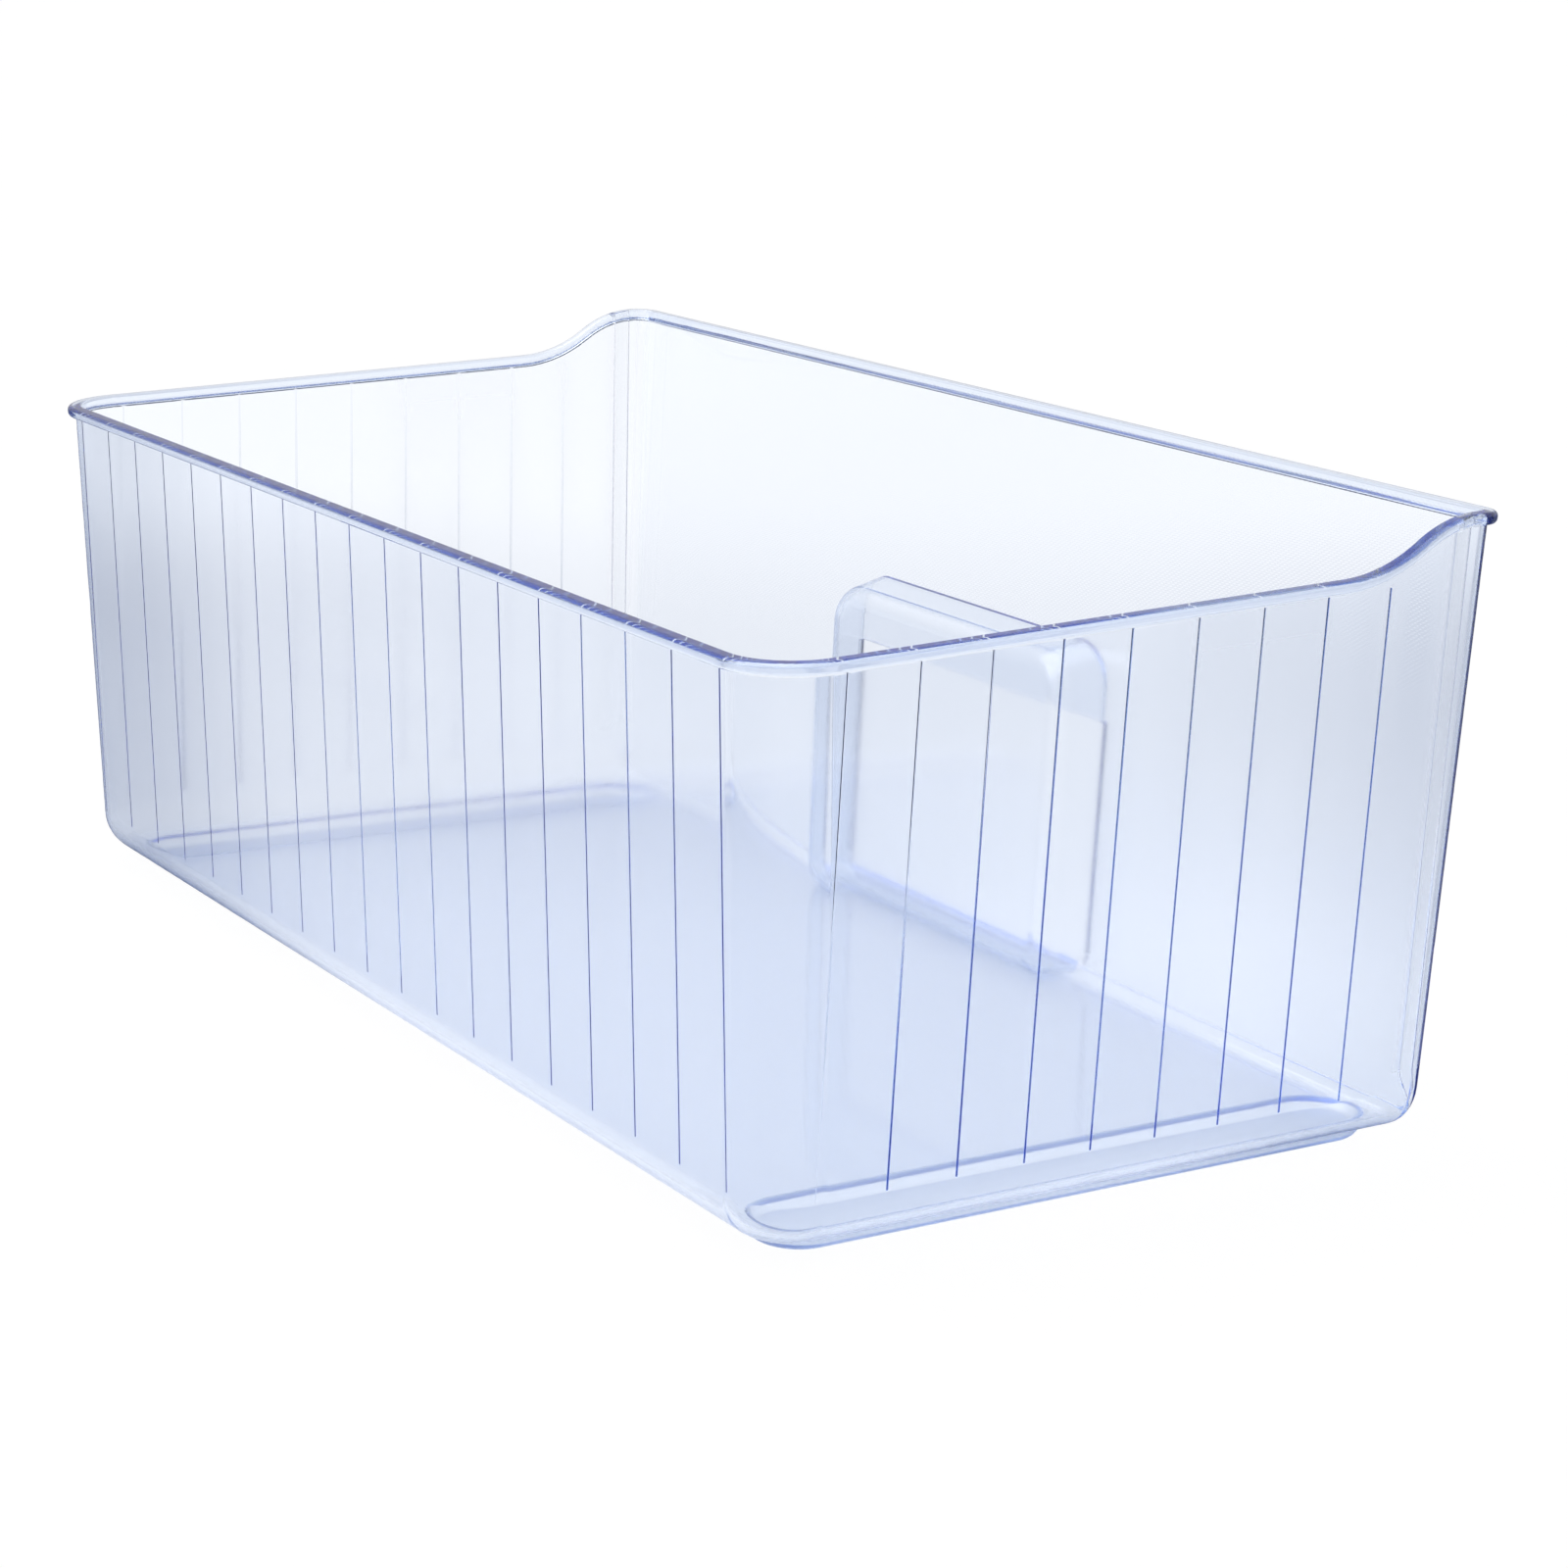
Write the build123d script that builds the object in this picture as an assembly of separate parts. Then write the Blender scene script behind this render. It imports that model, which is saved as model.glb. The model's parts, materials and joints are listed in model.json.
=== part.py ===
from build123d import *
from math import cos, radians, sin, tan
import os

os.makedirs("parts", exist_ok=True)

# A clear crisper bin for a refrigerator, as three plastic mouldings that are joined for good:
#   bin_body     floor with two glide feet, back wall, side walls and a low front sill
#   front_panel  tall front wall that wraps round both front corners and laps the side walls
#   grip_pocket  finger cup behind the front panel's notch, with a hood for the fingertips
# Millimetres. X runs along the bin, Y from the front (-Y) to the back (+Y), Z is up.
# The origin is under the middle of the bin, on the surface that the feet stand on.

# ---- Overall sizes ----
overall_length = 467.0        # X, over the rim beads at the front corners
overall_depth = 241.0         # Y, over the rim beads
overall_height = 186.5        # feet to the crest of the front rim
front_rise = 24.1             # how much higher the rim is at the front than at the back wall
wall = 2.2                    # every wall and the floor
side_draft = 1.7              # degrees that each wall leans outwards
back_draft = 3.05
front_draft = 1.15

# ---- Corners ----
back_corner_radius = 20.0     # upright corners at the back
base_radius = 15.0            # floor to the back and side walls
front_edge_radius = 5.0       # round the front face: upright corners and bottom edge
least_radius = 0.4            # no inner corner is sharper than this

# ---- Rim ----
bead_reach = 2.6              # how far the bead stands out from the wall
bead_height = 3.6
bead_round = 1.5              # radius on the bead's outer edges
bead_fillet = 0.8             # radius between the bead's underside and the wall
mouth_round = 0.9             # radius on the rim's inner edge
rim_rise = 2.6                # degrees by which the side rims climb towards the front
ramp_angle = 35.0             # degrees, the steep part of each side rim
ramp_setback = 19.3           # front of the rim to the top of the ramp, before rounding
ramp_foot_radius = 48.0
ramp_top_radius = 38.0

# ---- Seam between the body and the front panel ----
seam_setback = 16.6           # front of the rim to the seam on the outside of a side wall
lap_length = 5.6              # how far the body's tongue reaches in behind the panel
seam_gap = 0.12               # clearance in the joint
seam_turn_height = 24.0       # where the seam leaves the side wall and runs to the sill
seam_turn_radius = 9.0
sill_height = 9.4             # feet to the top of the sill under the front panel

# ---- Marking grooves outside the back and side walls ----
groove_width = 0.62
groove_depth = 0.42
groove_foot = 19.3            # feet to the lower ends
groove_rim_gap = 0.4          # bead to the upper ends
back_groove_count = 19
back_groove_pitch = 23.15
side_groove_count = 9
side_groove_pitch = 22.0      # counted from the seam

# ---- Glide feet, pressed down out of the floor ----
foot_drop = 3.8               # floor's underside to the surface the bin stands on
foot_width = 24.8
foot_length = 203.3
foot_flare = 30.0             # degrees, the lean of a foot's sides
foot_setback = 25.3           # outside of the side wall, at the floor, to the foot's middle
foot_front_setback = 12.5     # front of the rim to the foot's front end
foot_bend = 2.0               # radius inside a foot, where its sides meet its bottom
foot_blend = 2.5              # radius between the floor and a foot's recess

# ---- Grip pocket ----
pocket_width = 137.4          # outside, at the front face
pocket_top = 116.0            # feet to the pocket's top, at the front face
pocket_depth = 19.4           # front face to the pocket's inner face
pocket_wall = 2.0
pocket_side_draft = 10.0      # degrees
pocket_top_draft = 12.0
pocket_top_corner_radius = 14.0
pocket_bottom_corner_radius = 9.0
pocket_face_radius = 7.5
pocket_floor_gap = 0.15       # pocket to the bin's floor
hood_height = 25.0            # how far the pocket reaches up behind the front panel
mouth_bend = 4.5              # radius where the front face bends into the pocket's sides
hood_round = 1.0              # radius on the hood's lower edges

cut_margin = 12.0             # how far cutting solids reach past what they cut

# ---- Values that follow from the sizes above ----
back_height = overall_height - front_rise
rim_front = -overall_depth / 2
seam_outside = rim_front + seam_setback
seam_inside = seam_outside - lap_length
ramp_top = rim_front + ramp_setback
floor_level = foot_drop + wall
grip_edge = pocket_top - hood_height


def side_x(z, inset=0.0):
    """Distance from the middle to a side wall at height z."""
    return overall_length / 2 - bead_reach - tan(radians(side_draft)) * (overall_height - z) - inset


def back_y(z, inset=0.0):
    """Place of the back wall at height z."""
    return overall_depth / 2 - bead_reach - tan(radians(back_draft)) * (back_height - z) - inset


def front_y(z, inset=0.0):
    """Place of the front wall at height z."""
    return rim_front + bead_reach + tan(radians(front_draft)) * (overall_height - z) + inset


def inner_radius(radius, inset):
    """Radius of a rounded corner after its faces have moved inwards."""
    return max(radius - inset, least_radius)


def level_section(z, inset):
    """Sharp-cornered outline of the walls at height z."""
    back, front = back_y(z, inset), front_y(z, inset)
    return Pos(0, (back + front) / 2, z) * Rectangle(2 * side_x(z, inset), back - front)


def tub(inset):
    """Solid block inside the walls' outer faces, with each face moved inwards by inset."""
    low, high = foot_drop + inset, overall_height + cut_margin
    form = loft([level_section(low, inset), level_section(high, inset)])
    uprights = [e for e in form.edges() if abs((e % 0.5).Z) > 0.8 and (e @ 0.5).Y > 0]
    form = form.fillet(inner_radius(back_corner_radius, inset), uprights)
    base_edges = form.faces().sort_by(Axis.Z)[0].edges().sort_by(Axis.Y)[1:]
    form = form.fillet(inner_radius(base_radius, inset), base_edges)
    front_edges = form.faces().sort_by(Axis.Y)[0].edges().sort_by(Axis.Z)[:-1]
    return form.fillet(inner_radius(front_edge_radius, inset), front_edges)


def prism_along_x(outline):
    """Closed outline in the YZ plane, drawn out past both ends of the bin."""
    return extrude(Plane.YZ * make_face(outline), overall_length / 2 + cut_margin, both=True)


def side_rim(y):
    """Height of the crest's straight line over a side wall."""
    return back_height + (back_y(back_height) - y) * tan(radians(rim_rise))


def ramp_foot():
    """Place in Y where the ramp, before rounding, leaves the side rim's straight line."""
    climb = overall_height - side_rim(ramp_top)
    return ramp_top + climb / (tan(radians(ramp_angle)) - tan(radians(rim_rise)))


def ramp_radii():
    """Radii of the ramp's two bends, no larger than its length has room for."""
    foot_tangent = ramp_foot_radius * tan(radians(ramp_angle - rim_rise) / 2)
    top_tangent = ramp_top_radius * tan(radians(ramp_angle) / 2)
    room = 0.98 * (ramp_foot() - ramp_top) / cos(radians(ramp_angle))
    share = min(1, room / (foot_tangent + top_tangent))
    return share * ramp_foot_radius, share * ramp_top_radius


def below_rim(drop):
    """Everything under the rim's crest line, moved down square to itself by drop."""
    rise, ramp = radians(rim_rise), radians(ramp_angle)
    back_end, front_end = overall_depth / 2 + cut_margin, rim_front - cut_margin
    foot_radius, top_radius = ramp_radii()
    foot = ramp_foot() + drop * (cos(rise) - cos(ramp)) / sin(ramp - rise)
    shoulder = ramp_top - drop * (1 - cos(ramp)) / sin(ramp)

    def lowered(y):
        return side_rim(y) - drop / cos(rise)

    line = FilletPolyline(
        (back_end, lowered(back_end)),
        (foot, lowered(foot)),
        (shoulder, overall_height - drop),
        (front_end, overall_height - drop),
        radius=[foot_radius + drop, top_radius - drop],
    )
    under = Polyline(
        (front_end, overall_height - drop),
        (front_end, -cut_margin),
        (back_end, -cut_margin),
        (back_end, lowered(back_end)),
    )
    return prism_along_x(line + under)


def ahead_of_seam(wall_line, gap):
    """Everything on the front panel's side of a seam, less a gap."""
    top, far = overall_height + cut_margin, rim_front - cut_margin
    line = FilletPolyline(
        (wall_line - gap, top),
        (wall_line - gap, seam_turn_height),
        (front_y(sill_height, wall), sill_height + gap),
        (far, sill_height + gap),
        radius=[seam_turn_radius, least_radius],
    )
    return prism_along_x(line + Polyline((far, sill_height + gap), (far, top), (wall_line - gap, top)))


def edges_between(shape, lowest, highest):
    """Edges high on the walls where an upright face meets one whose normal's Z is in a range."""
    owners = {}
    for f in shape.faces():
        for e in f.edges():
            owners.setdefault(hash(e), (e, []))[1].append(f)
    found = []
    for e, faces in owners.values():
        middle = e @ 0.5
        if middle.Z < back_height - 2 * bead_height or len(faces) != 2:
            continue
        tilts = sorted((f.normal_at(middle).Z for f in faces), key=abs)
        if abs(tilts[0]) < 0.2 and lowest < tilts[1] < highest:
            found.append(e)
    return found


def rimmed_block():
    """The tub's outer form up to the rim, with the bead round it."""
    bead = (tub(-bead_reach) & below_rim(0)) - below_rim(bead_height)
    outer_edges = [
        e
        for f in bead.faces()
        if abs(f.normal_at().Z) < 0.5
        for e in f.edges()
        if abs((e % 0.5).Z) < 0.8
    ]
    bead = bead.fillet(bead_round, outer_edges)
    block = (tub(0) & below_rim(0)) + bead
    return block.fillet(bead_fillet, edges_between(block, -1.01, -0.6))


def groove(lower_end, upper_end, along):
    """V-shaped cutter from one point on a wall to another, open to the outside."""
    run = upper_end - lower_end
    section = Plane(origin=lower_end, x_dir=along, z_dir=run)
    proud = 2 * groove_depth
    half = groove_width / 2 * (groove_depth + proud) / groove_depth
    notch = make_face(Polyline((-half, proud), (half, proud), (0, -groove_depth), close=True))
    return extrude(section * notch, run.length)


def grooves():
    """All marking grooves: the back wall's, one side's and their mirror images."""
    gap = bead_height + groove_rim_gap
    cutters = []
    top = back_height - gap
    for step in range(back_groove_count):
        x = (step - (back_groove_count - 1) / 2) * back_groove_pitch
        lower = Vector(x, back_y(groove_foot), groove_foot)
        cutters.append(groove(lower, Vector(x, back_y(top), top), (1, 0, 0)))
    for step in range(1, side_groove_count + 1):
        y = seam_outside + step * side_groove_pitch
        top = side_rim(y) - gap
        lower = Vector(-side_x(groove_foot), y, groove_foot)
        cutter = groove(lower, Vector(-side_x(top), y, top), (0, 1, 0))
        cutters += [cutter, mirror(cutter, about=Plane.YZ)]
    return cutters


def foot_block(low, high, width, length):
    """Long pad with round ends that widens upwards."""
    flare = (high - low) * tan(radians(foot_flare))
    lower = Pos(0, 0, low) * SlotOverall(length, width, rotation=90)
    upper = Pos(0, 0, high) * SlotOverall(length + 2 * flare, width + 2 * flare, rotation=90)
    return loft([lower, upper])


def foot_places():
    """Where the two glide feet go."""
    x = side_x(foot_drop) - foot_setback
    y = rim_front + foot_front_setback + foot_length / 2
    return [Pos(-x, y, 0), Pos(x, y, 0)]


def foot_outside():
    """Outer form of one foot, up to the middle of the floor."""
    pad = foot_block(0, foot_drop + wall / 2, foot_width, foot_length)
    return pad.fillet(foot_bend + wall, pad.faces().sort_by(Axis.Z)[0].edges())


def foot_hollow():
    """Recess inside one foot, one wall thickness from its outside."""
    lean = radians(foot_flare)
    narrower = 2 * wall * (1 / cos(lean) - tan(lean))
    hollow = foot_block(wall, floor_level + wall, foot_width - narrower, foot_length - narrower)
    return hollow.fillet(foot_bend, hollow.faces().sort_by(Axis.Z)[0].edges())


def soften_feet(body):
    """Round the edges where the floor meets each foot's recess."""
    lip = [
        e
        for e in body.edges()
        if abs((e @ 0).Z - floor_level) < 0.01 and abs((e @ 0.5).Z - floor_level) < 0.01
    ]
    reach = side_x(foot_drop) - foot_setback
    near_foot = [e for e in lip if abs(abs((e @ 0.5).X) - reach) < foot_width and (e @ 0.5).Y > seam_inside]
    return body.fillet(foot_blend, near_foot)


def front_plane(depth):
    """Plane parallel to the front face, depth behind it, with its Y axis up the face."""
    lean = radians(front_draft)
    inward = Vector(0, cos(lean), sin(lean))
    return Plane(origin=Vector(0, front_y(0), 0) + inward * depth, x_dir=(-1, 0, 0), z_dir=inward)


def on_front(z):
    """Distance up the front face to height z."""
    return z / cos(radians(front_draft))


def front_slab(half_width, low, high, near, far):
    """Block between two depths behind the front face and two heights."""
    low, high = on_front(low), on_front(high)
    outline = Pos(0, (low + high) / 2) * Rectangle(2 * half_width, high - low)
    return extrude(front_plane(near) * outline, far - near)


def pocket_section(depth, inset):
    """The pocket's outline at some depth behind the front face."""
    narrow = depth * tan(radians(pocket_side_draft)) + inset
    low = on_front(floor_level + pocket_floor_gap) + inset
    high = on_front(pocket_top) - depth * tan(radians(pocket_top_draft)) - inset
    return front_plane(depth) * (Pos(0, (low + high) / 2) * Rectangle(pocket_width - 2 * narrow, high - low))


def pocket_block(inset):
    """The pocket's outer form, with its faces moved inwards by inset."""
    form = loft([pocket_section(-cut_margin, inset), pocket_section(pocket_depth - inset, inset)])
    middle = (floor_level + pocket_top) / 2
    upper = [e for e in form.edges() if abs((e % 0.5).Y) > 0.8 and (e @ 0.5).Z > middle]
    form = form.fillet(inner_radius(pocket_top_corner_radius, inset), upper)
    lower = [e for e in form.edges() if abs((e % 0.5).Y) > 0.8 and (e @ 0.5).Z < middle / 2]
    form = form.fillet(inner_radius(pocket_bottom_corner_radius, inset), lower)
    face = form.faces().sort_by(Axis.Y)[-1]
    return form.fillet(inner_radius(pocket_face_radius, inset), face.edges())


def pocket_corner(reach, thickness, radius, overlap):
    """Ends of a bend's arc, its middle, and points off its two tangents, in the mouth's plane.

    The corner is where a line at some depth behind the front face meets the pocket's side.
    """
    lean = radians(pocket_side_draft)
    corner = Vector(reach - thickness * tan(lean), thickness)
    tangent = radius * tan(radians(45) - lean / 2)
    along_side = Vector(-sin(lean), cos(lean))
    off_side = Vector(-cos(lean), -sin(lean)) * overlap
    on_face = corner + Vector(tangent, 0)
    on_side = corner + along_side * tangent
    middle = on_face + Vector(0, radius)
    toward = (corner - middle).normalized() * radius
    return on_face, middle + toward, on_side, on_side + off_side


def mouth_plane():
    """Plane across the front face: X along it, Y into the bin."""
    lean = radians(front_draft)
    return Plane(origin=(0, front_y(0), 0), x_dir=(1, 0, 0), z_dir=(0, -sin(lean), cos(lean)))


def both_sides(outline, low, high):
    """Closed outline in the mouth's plane, drawn up the face on the right and on the left."""
    bar = extrude(mouth_plane().offset(on_front(low)) * make_face(outline), on_front(high) - on_front(low))
    return bar + mirror(bar, about=Plane.YZ)


def mouth_cut():
    """What the bends take off the front face and the pocket's sides, below the hood."""
    inside = pocket_width / 2 - pocket_wall
    face_end, arc_middle, side_end, off_side = pocket_corner(inside, 0, mouth_bend, mouth_bend)
    arc = ThreePointArc(face_end, arc_middle, side_end)
    rest = Polyline(side_end, off_side, (off_side.X, -mouth_bend), (face_end.X, -mouth_bend), face_end)
    return both_sides(arc + rest, 0, grip_edge)


def mouth_webs():
    """What the bends add behind the front panel, outside the pocket's sides."""
    face_end, arc_middle, side_end, off_side = pocket_corner(
        pocket_width / 2, wall, mouth_bend - pocket_wall, pocket_wall / 2
    )
    arc = ThreePointArc(face_end, arc_middle, side_end)
    rest = Polyline(side_end, off_side, (off_side.X, wall), face_end)
    low = floor_level + pocket_floor_gap + pocket_bottom_corner_radius
    return both_sides(arc + rest, low, grip_edge)


def make_shells():
    """The outer and inner halves of the walls' thickness, with the rim on the outer one."""
    shell = rimmed_block() - tub(wall)
    shell = shell.fillet(mouth_round, edges_between(shell, 0.6, 1.01))
    core = tub(wall / 2)
    return shell - core, shell & core


def make_bin_body(outer_half, inner_half):
    """Floor, feet, back and side walls, sill and the tongue that lies behind the panel."""
    tongue_room = tub(0) - tub(wall / 2 + seam_gap)
    walls = outer_half - ahead_of_seam(seam_outside, 0)
    tongue = inner_half - ahead_of_seam(seam_inside, 0) - (tongue_room & ahead_of_seam(seam_outside, 0))
    body = walls + tongue
    for place in foot_places():
        body = body + place * foot_outside() - place * foot_hollow()
    return soften_feet(body - grooves())


def make_front_panel(outer_half, inner_half):
    """Tall front wall with its wrapped corners and the notch for the pocket."""
    skin = outer_half & ahead_of_seam(seam_outside, seam_gap)
    lining = inner_half & ahead_of_seam(seam_inside, seam_gap)
    notch = front_slab(pocket_width, 0, grip_edge, -cut_margin, wall) & pocket_block(0)
    panel = skin + lining - notch
    brow = [
        e
        for e in panel.edges()
        if abs((e % 0.5).X) > 0.8 and e.length > pocket_width / 2 and abs((e @ 0.5).Z - grip_edge) < wall / 2
    ]
    return panel.fillet(hood_round, brow) - mouth_cut()


def make_grip_pocket():
    """Cup whose lower part fills the panel's notch and whose hood lies behind the panel."""
    cup = pocket_block(0) - pocket_block(pocket_wall)
    half = pocket_width
    behind_face = front_slab(half, 0, pocket_top + cut_margin, 0, pocket_depth + cut_margin)
    panel_room = front_slab(half, grip_edge, pocket_top + cut_margin, -cut_margin, wall)
    sill_room = front_slab(half, 0, sill_height + seam_gap, -cut_margin, pocket_depth + cut_margin)
    pocket = (cup & behind_face) - panel_room - (sill_room - tub(wall + seam_gap))
    return pocket + mouth_webs() - mouth_cut()


outer, inner = make_shells()
nodes = {
    "bin_body": make_bin_body(outer, inner),
    "front_panel": make_front_panel(outer, inner),
    "grip_pocket": make_grip_pocket(),
}
for name, shape in nodes.items():
    solids = shape.solids()
    export_step(solids[0] if len(solids) == 1 else Compound(solids), f"parts/{name}.step")
    print(name, "solids", len(solids), "volume", round(sum(s.volume for s in solids)))
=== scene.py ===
"""Dresses a refrigerator's clear crisper bin: tinted mouldings on a pale studio floor.

Everything is in metres and in the part's own frame: X along the bin, -Y towards the tall front,
+Z up, with z = 0 where the glide feet stand.
"""

import json
import logging
from dataclasses import dataclass, field
from enum import Enum
from math import cos, pi, radians, sin, tan

import bpy
import numpy as np
from mathutils import Matrix, Vector

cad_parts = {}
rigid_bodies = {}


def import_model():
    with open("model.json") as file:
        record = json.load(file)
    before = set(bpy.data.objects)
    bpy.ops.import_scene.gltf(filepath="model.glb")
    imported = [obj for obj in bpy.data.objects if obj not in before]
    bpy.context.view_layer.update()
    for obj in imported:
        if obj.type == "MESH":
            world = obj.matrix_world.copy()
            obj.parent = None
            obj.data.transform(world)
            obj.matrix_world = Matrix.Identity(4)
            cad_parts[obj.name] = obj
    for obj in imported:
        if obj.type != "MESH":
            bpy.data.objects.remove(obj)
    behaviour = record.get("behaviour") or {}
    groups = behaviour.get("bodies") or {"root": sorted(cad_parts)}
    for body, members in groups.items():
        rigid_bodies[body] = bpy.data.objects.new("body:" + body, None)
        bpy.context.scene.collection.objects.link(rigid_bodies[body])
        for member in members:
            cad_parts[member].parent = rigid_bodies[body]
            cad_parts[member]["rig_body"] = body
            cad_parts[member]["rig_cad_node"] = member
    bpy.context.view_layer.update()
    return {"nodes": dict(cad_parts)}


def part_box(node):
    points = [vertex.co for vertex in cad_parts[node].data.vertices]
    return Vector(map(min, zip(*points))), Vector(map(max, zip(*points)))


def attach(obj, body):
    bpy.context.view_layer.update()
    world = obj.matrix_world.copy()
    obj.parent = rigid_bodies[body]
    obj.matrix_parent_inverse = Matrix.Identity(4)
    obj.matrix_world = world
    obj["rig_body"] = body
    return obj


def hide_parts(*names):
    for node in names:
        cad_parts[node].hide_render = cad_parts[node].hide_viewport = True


LOG = logging.getLogger("crisper_bin")
MM = 0.001
BODY = "root"
WHITE = (1.0, 1.0, 1.0, 1.0)


# ---------------------------------------------
# Small helpers
# ---------------------------------------------


def linear(hex_colour: str, alpha: float = 1.0) -> tuple[float, float, float, float]:
    """Turn an sRGB hex colour into linear RGBA.

    Args:
        hex_colour: Six hex digits, with or without a leading hash.
        alpha: Opacity to append.

    Returns:
        The linear red, green, blue and alpha values.
    """
    digits = hex_colour.lstrip("#")
    channels = (int(digits[i : i + 2], 16) / 255 for i in (0, 2, 4))
    red, green, blue = (
        c / 12.92 if c <= 0.04045 else ((c + 0.055) / 1.055) ** 2.4 for c in channels
    )
    return red, green, blue, alpha


def add(
    tree: bpy.types.NodeTree, kind: str, settings: dict[str, object] | None = None, **inputs: object
) -> bpy.types.Node:
    """Add one shader node with its settings and links.

    Args:
        tree: Node tree that receives the node.
        kind: Node class without the "ShaderNode" prefix.
        settings: Node attributes by name.
        **inputs: What each socket gets: a value, an output, or a node for its first output. A
            socket goes by its name, with "_" for a space, or by its index, as in "i0".

    Returns:
        The new node.
    """
    node = tree.nodes.new(f"ShaderNode{kind}")
    for name, value in (settings or {}).items():
        setattr(node, name, value)
    for name, value in inputs.items():
        is_index = name[0] == "i" and name[1:].isdigit()
        socket = node.inputs[int(name[1:]) if is_index else name.replace("_", " ")]
        source = value.outputs[0] if isinstance(value, bpy.types.Node) else value
        if isinstance(source, bpy.types.NodeSocket):
            tree.links.new(source, socket)
        else:
            socket.default_value = source
    return node


def deselect_all() -> None:
    """Leave no object selected and none active."""
    bpy.ops.object.select_all(action="DESELECT")
    bpy.context.view_layer.objects.active = None


def make_active(piece: bpy.types.Object) -> None:
    """Select one object alone and make it the active one."""
    deselect_all()
    piece.select_set(True)
    bpy.context.view_layer.objects.active = piece


# ---------------------------------------------
# Finishes
# ---------------------------------------------


class Surface(Enum):
    """How the steel of the mould was finished, which the plastic copies."""

    POLISHED = "polished all over"
    DIAMOND_UPRIGHT = "diamond grain on the upright front face"
    DIAMOND_LEVEL = "diamond grain on the level floor"


@dataclass(frozen=True)
class ClearStyrene:
    """Injection-moulded general-purpose polystyrene, tinted a faint blue.

    The resin is clear and glossy with a high index, so a wall looks nearly white with a cool cast,
    and an edge, where light has run through centimetres of resin, looks navy. The dark lines at the
    grooves' roots and along the rim's edges are painted shade.

    Attributes:
        name: Material name.
        surface: Grain that the mould left.
        ior: Refractive index, a little under the resin's 1.59.
        roughness: Polished mould steel leaves an almost mirror-smooth skin.
        gloss_spread: Least and most of that roughness as handling leaves it, in shares of it.
        gloss_pitch: Metres between those changes.
        edge_roughness: The rim and the feet's soles are less polished, and let light in them out.
        painted_shade_tone: Painted shade: the dark colour painted on a groove's root, seen from
            outside,
        and on the rim's edges, seen through the resin.
        root_from: Groove mark above which the skin is a groove's root.
        flank_from: Groove mark above which the skin is at least a groove's flank.
        painted_line_from: Line mark above which the rim's edge is dark.
        flank_share: Share of the light that a groove's blunt flanks let straight through.
        passing_tone: What is left of light that goes straight through the skin.
        tint: What the dye lets through, as a colour for the absorption.
        density: Strength of the dye per metre of resin.
        flow_pitch: Metres between the soft swells that cooling resin leaves in a wall.
        flow_depth: Height of those swells in metres.
        grain_pitch: Width and height of one diamond of the grain in metres.
        grain_depth: Depth of the grain in metres.
        grain_power: Power that narrows each diamond to its middle.
        grain_facing: How squarely a face must look along the grain's axis to carry it.
        clear_margins: Metres that the grain keeps off the bin's ends, on the front and the floor.
    """

    name: str
    surface: Surface = Surface.POLISHED
    ior: float = 1.57
    roughness: float = 0.045
    gloss_spread: tuple[float, float] = (0.6, 1.6)
    gloss_pitch: float = 30 * MM
    edge_roughness: float = 0.12
    painted_shade_tone: str = "#161c2c"
    root_from: float = 0.5
    flank_from: float = 0.001
    painted_line_from: float = 0.45
    flank_share: float = 0.92
    passing_tone: str = "#fcfdfe"
    tint: str = "#62acf2"
    density: float = 43.0
    flow_pitch: float = 45 * MM
    flow_depth: float = 0.012 * MM
    grain_pitch: tuple[float, float] = (4.4 * MM, 2.8 * MM)
    grain_depth: float = 0.014 * MM
    grain_power: float = 3.0
    grain_facing: float = 0.99
    clear_margins: tuple[float, float] = (14 * MM, 50 * MM)

    @property
    def is_upright(self) -> bool:
        """Whether the grain is on the upright front face."""
        return self.surface is Surface.DIAMOND_UPRIGHT

    @property
    def grain_reach(self) -> float:
        """Half width of the grained area in metres."""
        low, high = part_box("bin_body")
        on_front, on_floor = self.clear_margins
        return (high.x - low.x) / 2 - (on_front if self.is_upright else on_floor)

    def make(self) -> bpy.types.Material:
        """Build the material's nodes.

        Returns:
            The finished material.
        """
        material = bpy.data.materials.new(self.name)
        material.use_nodes = True
        tree = material.node_tree
        tree.nodes.clear()
        where = add(tree, "TexCoord").outputs["Object"]
        groove = add(tree, "Attribute", {"attribute_name": "groove"}).outputs["Fac"]
        backfacing = add(tree, "NewGeometry").outputs["Backfacing"]
        root = self._groove_root(tree, groove, backfacing)
        # Painted shade: the base colour is painted dark on the grooves' roots and along the rim's
        # edges.
        painted_shade = self._painted_shade_share(tree, root, backfacing)
        tone = add(tree, "MixRGB", i0=painted_shade, i1=WHITE, i2=linear(self.painted_shade_tone))
        plastic = add(
            tree,
            "BsdfPrincipled",
            Base_Color=tone,
            IOR=self.ior,
            Roughness=self._roughness(tree, where),
            Transmission_Weight=1.0,
            Normal=self._bump(tree, where),
        )
        passing = add(tree, "BsdfTransparent", Color=linear(self.passing_tone))
        share = self._passing_share(tree, groove, root)
        skin = add(tree, "MixShader", i0=share, i1=plastic, i2=passing)
        dye = add(tree, "VolumeAbsorption", Color=linear(self.tint), Density=self.density)
        add(tree, "OutputMaterial", Surface=skin, Volume=dye)
        return material

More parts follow.
